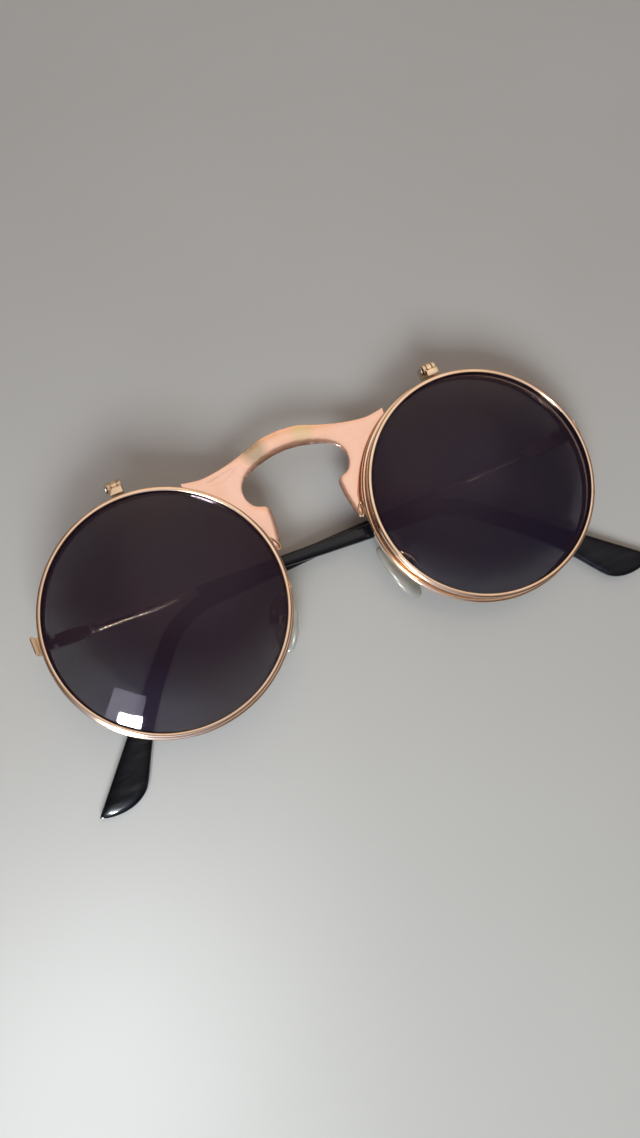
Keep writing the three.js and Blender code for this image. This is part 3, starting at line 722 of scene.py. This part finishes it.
def add_spring(name, line):
    """Coil spring round the wire, behind its collar."""
    count = SPRING["coils"] * SPRING["steps_per_turn"]
    forward = (line["at"](SPRING["end"])[0] - line["at"](SPRING["start"])[0]).normalized()
    rings = []
    for step, distance in enumerate(spread(SPRING["start"], SPRING["end"], count)):
        turn = 2 * math.pi * step / SPRING["steps_per_turn"]
        point, up = line["at"](distance)
        out = up * math.cos(turn) + Z * math.sin(turn)
        rings.append(circle(point + out * SPRING["radius"], out, forward, SPRING["wire"], 8))
    points, faces = skin(rings)
    add_object(
        f"temple_spring_{name}_shape", place_temple(points, name), faces, f"temple_{name}",
        [f"temple_spring_{name}"], MATERIALS["spring"],
    )


def add_collar(name, line):
    """Ring with rounded edges that the spring presses on."""
    low, high = COLLAR["start"], COLLAR["end"]
    inner, outer = COLLAR["inner"], COLLAR["outer"]
    outline = filleted([(inner, low, 0.05), (outer, low, 0.2), (outer, high, 0.2), (inner, high, 0.05)])
    rings = [line_ring(line, distance, radius, 40) for radius, distance in outline]
    points = [point for ring in rings for point in ring]
    faces = skin_faces(len(rings), 40, looped=True)
    add_object(
        f"spring_collar_{name}_shape", place_temple(points, name), faces, f"temple_{name}",
        [f"spring_collar_{name}"], MATERIALS["temple"],
    )


# ---------------------------------------------------------------- nose pads

def pad_frame():
    """Directions of the right pad: down its length, across it, and inward to the nose."""
    down = Vector((0.35, -0.93, -0.12)).normalized()
    across = Vector((0.75, 0, -0.66))
    across = (across - down * across.dot(down)).normalized()
    inward = across.cross(down).normalized()
    if inward.x > 0:
        inward.negate()
    return down, across, inward


def add_pad(name, side):
    """Soft drop-shaped pad, thickest in the middle."""
    down, across, inward = pad_frame()
    half = PAD["thickness"] / 2
    rings = []
    for step in range(1, PAD["layers"]):
        height = -half + 2 * half * step / PAD["layers"]
        share = (1 - abs(height / half) ** PAD["bulge"]) ** PAD["round"]
        ring = []
        for spoke in range(PAD["spokes"]):
            turn = 2 * math.pi * spoke / PAD["spokes"]
            low = math.cos(turn)
            wide = math.sin(turn) * (1 + PAD["swell"] * low)
            point = PAD["centre"] + down * PAD["length"] / 2 * share * low + inward * height
            ring.append(point + across * PAD["width"] / 2 * share * wide)
        rings.append(ring)
    points, faces = skin(rings)
    points[-2] = PAD["centre"] - inward * half
    points[-1] = PAD["centre"] + inward * half
    add_object(
        f"nose_pad_{name}_shape", mirrored(points, side), faces, f"pad_{name}",
        [f"nose_pad_{name}"], MATERIALS["silicone"], sharp=80,
    )


def add_pad_arm(name, side):
    """Bent wire from the back rim to behind the pad's box."""
    down, _, inward = pad_frame()
    box_back = PAD["thickness"] / 2 + CLEARANCE + PAD_BOX["radius"] + PAD_BOX["back"]
    offset = box_back + CLEARANCE + PAD_ARM_RADIUS
    end = PAD["centre"] - inward * offset
    knots = PAD_ARM_KNOTS + [end - down * PAD_ARM_END["before"], end + down * PAD_ARM_END["past"]]
    path = smooth_line(knots, 8)
    rings = []
    side_way = Vector((0.4, -0.2, 1)).normalized()
    for index, point in enumerate(path):
        ahead = path[min(index + 1, len(path) - 1)] - path[max(index - 1, 0)]
        across = ahead.cross(side_way).normalized()
        side_way = across.cross(ahead).normalized()
        rings.append(circle(point, across, side_way, PAD_ARM_RADIUS, 16))
    points, faces = skin(rings)
    add_object(
        f"pad_arm_{name}_shape", mirrored(points, side), faces, "frame",
        [f"pad_arm_{name}"], MATERIALS["hinge"],
    )


# ---------------------------------------------------------------- hinge hardware kept from the CAD model

KEPT = {
    "hinge": ("flip_hinge_base", "flip_hinge_leaf", "end_piece", "temple_hinge_leaf", "temple_hinge_knuckle",
              "pad_box", "pad_stud"),
    "temple": ("temple_bar",),
    "steel": ("flip_hinge_screw", "rim_screw", "temple_hinge_screw", "pad_screw"),
}


def finish_kept_nodes():
    """Softens the edges of the small hinge parts and gives them their metal."""
    for material, stems in KEPT.items():
        for stem in stems:
            for name in SIDES:
                node = frame["nodes"][f"{stem}_{name}"]
                node.data.materials.clear()
                node.data.materials.append(MATERIALS[material])
                weld = node.modifiers.new("weld", "WELD")
                weld.merge_threshold = KEPT_BEVEL["weld"] * MILLIMETRE
                add_bevel(node, KEPT_BEVEL)


# ---------------------------------------------------------------- surroundings

def add_floor():
    """Plain pale floor, faintly clouded."""
    mesh = bpy.data.meshes.new("floor")
    size = FLOOR_HALF_SIZE
    corners = [(-size, -size, 0), (size, -size, 0), (size, size, 0), (-size, size, 0)]
    mesh.from_pydata(corners, [], [(0, 1, 2, 3)])
    floor = bpy.data.objects.new("floor", mesh)
    bpy.context.collection.objects.link(floor)
    material, nodes, links, shader = new_material("pale_floor")
    cloud = add_noise(nodes, links, 9, 3.0)
    share = add_range(nodes, links, cloud, 0, 1)
    colour = add_mix(nodes, links, share, (0.48, 0.445, 0.41), (0.51, 0.475, 0.44))
    links.new(colour, shader.inputs["Base Color"])
    shader.inputs["Roughness"].default_value = 0.5
    mesh.materials.append(material)


def direction(x, y, z):
    """A direction of the glasses' frame in the row frame."""
    return (GLASSES.to_3x3() @ Vector((x, y, z))).normalized()


# Lamps: place in millimetres, size in metres, power in watts. A lamp may be left out of what glossy
# surfaces mirror, or light nothing but gloss.
LAMPS = {
    "window": {
        "place": (-259, -172, 431), "size": (0.10, 0.10), "power": 0.26, "colour": (0.85, 0.95, 1.0),
        "lights": False, "roll": 0.22,
    },
    "sill": {
        "place": (-262, -208, 418), "size": (0.07, 0.03), "power": 4.0, "colour": (0.93, 0.98, 1.0),
        "lights": False, "roll": 0.22,
    },
    "daylight": {
        "place": (-140, -330, 330), "size": (0.22, 0.22), "power": 1.75, "colour": (0.82, 0.96, 1.0),
        "shines": False,
    },
    "low_glint": {
        "place": (-450, -390, 45), "size": (0.10, 0.05), "power": 4.5, "colour": (1.0, 0.95, 0.90),
        "lights": False,
    },
}


def add_lamp(name, place, size, power, colour, shines=True, lights=True, roll=0):
    """Area lamp facing the glasses: shines lets gloss mirror it, lights lets it reach matt surfaces."""
    data = bpy.data.lights.new(name, "AREA")
    data.shape = "RECTANGLE"
    data.size, data.size_y = size
    data.energy = power
    data.color = colour
    lamp = bpy.data.objects.new(name, data)
    bpy.context.collection.objects.link(lamp)
    lamp.location = GLASSES @ Vector(place)
    lamp.rotation_euler = (lamp.location.to_track_quat("Z", "Y") @ Quaternion(Z, roll)).to_euler()
    lamp.visible_glossy = shines
    lamp.visible_diffuse = lights


def facing_share(nodes, links, place, axis, low, high):
    """0 to 1 as a direction turns towards an axis."""
    facing = nodes.new("ShaderNodeVectorMath")
    facing.operation = "DOT_PRODUCT"
    facing.inputs[1].default_value = direction(*axis)
    links.new(place, facing.inputs[0])
    return add_range(nodes, links, facing.outputs["Value"], 0, 1, low, high)


# The room: where the middle of the ceiling is, and the colour against the cosine of the angle from it
CEILING = (0.20, 0.28, 0.94)
CEILING_FADE = (
    (0.0, (0.05, 0.03, 0.02)),
    (0.45, (0.07, 0.045, 0.035)),
    (0.77, (0.22, 0.17, 0.14)),
    (0.91, (0.42, 0.37, 0.34)),
    (0.965, (0.92, 0.87, 0.84)),
    (1.0, (1.0, 0.96, 0.93)),
)

# Glows in the room, one cool beside the window and one warm: direction, cosine of the half angle, colour
ROOM_GLOWS = (
    ((-0.42, -0.50, 0.76), 0.88, (0.9, 1.1, 1.6)),
    ((0.30, 0.74, 0.60), 0.84, (1.0, 0.84, 0.66)),
)


def add_world():
    """A room: pale ceiling above, dark warm walls low down, and its glows."""
    world = bpy.data.worlds.new("room")
    bpy.context.scene.world = world
    world.use_nodes = True
    nodes, links = world.node_tree.nodes, world.node_tree.links
    background = nodes["Background"]
    place = nodes.new("ShaderNodeTexCoord").outputs["Generated"]
    ramp = nodes.new("ShaderNodeValToRGB")
    links.new(facing_share(nodes, links, place, CEILING, 0.0, 1.0), ramp.inputs["Fac"])
    stops = ramp.color_ramp.elements
    stops[0].color = (*CEILING_FADE[0][1], 1)
    stops[-1].color = (*CEILING_FADE[-1][1], 1)
    for position, tone in CEILING_FADE[1:-1]:
        stops.new(position).color = (*tone, 1)
    room = ramp.outputs["Color"]
    for axis, edge, tone in ROOM_GLOWS:
        room = add_tint(nodes, links, facing_share(nodes, links, place, axis, edge, 1.0), room, tone)
    links.new(room, background.inputs["Color"])
    background.inputs["Strength"].default_value = 1.0


CAMERA = {
    "place": Vector((-32.64, -17.29, 168.22)), "lens": 26.0, "sensor": 36, "clip_start": 0.005,
    "right": (0.91145, -0.39146, 0.12655), "up": (0.37457, 0.91683, 0.13830),
}


def add_camera():
    """Hand-held view from above the left lens, looking slightly across the front."""
    data = bpy.data.cameras.new("camera")
    data.sensor_fit = "AUTO"
    data.sensor_width = CAMERA["sensor"]
    data.lens = CAMERA["lens"]
    data.clip_start = CAMERA["clip_start"]
    camera = bpy.data.objects.new("camera", data)
    bpy.context.collection.objects.link(camera)
    right = direction(*CAMERA["right"])
    up = direction(*CAMERA["up"])
    turn = Matrix((right, up, right.cross(up))).transposed()
    camera.matrix_world = Matrix.Translation(GLASSES @ CAMERA["place"]) @ turn.to_4x4()
    bpy.context.scene.camera = camera


# ---------------------------------------------------------------- assembly

add_plate()
for name, side in SIDES.items():
    add_rim(f"back_rim_{name}", BACK_RIM, side, "frame")
    add_lens(f"back_lens_{name}", BACK_RIM, side, "frame", "clear")
    add_rim(f"flip_rim_{name}", FLIP_RIM, side, f"flip_{name}")
    add_lens(f"flip_lens_{name}", FLIP_RIM, side, f"flip_{name}", "tint")
    add_tab(name, side)
    add_pad(name, side)
    add_pad_arm(name, side)
    line = temple_line(**TEMPLES[name])
    add_sleeve(name, line)
    add_core(name, line)
    add_spring(name, line)
    add_collar(name, line)
finish_kept_nodes()
add_floor()
add_world()
for name, lamp in LAMPS.items():
    add_lamp(name, **lamp)
bpy.context.scene.view_settings.view_transform = "Standard"
add_camera()
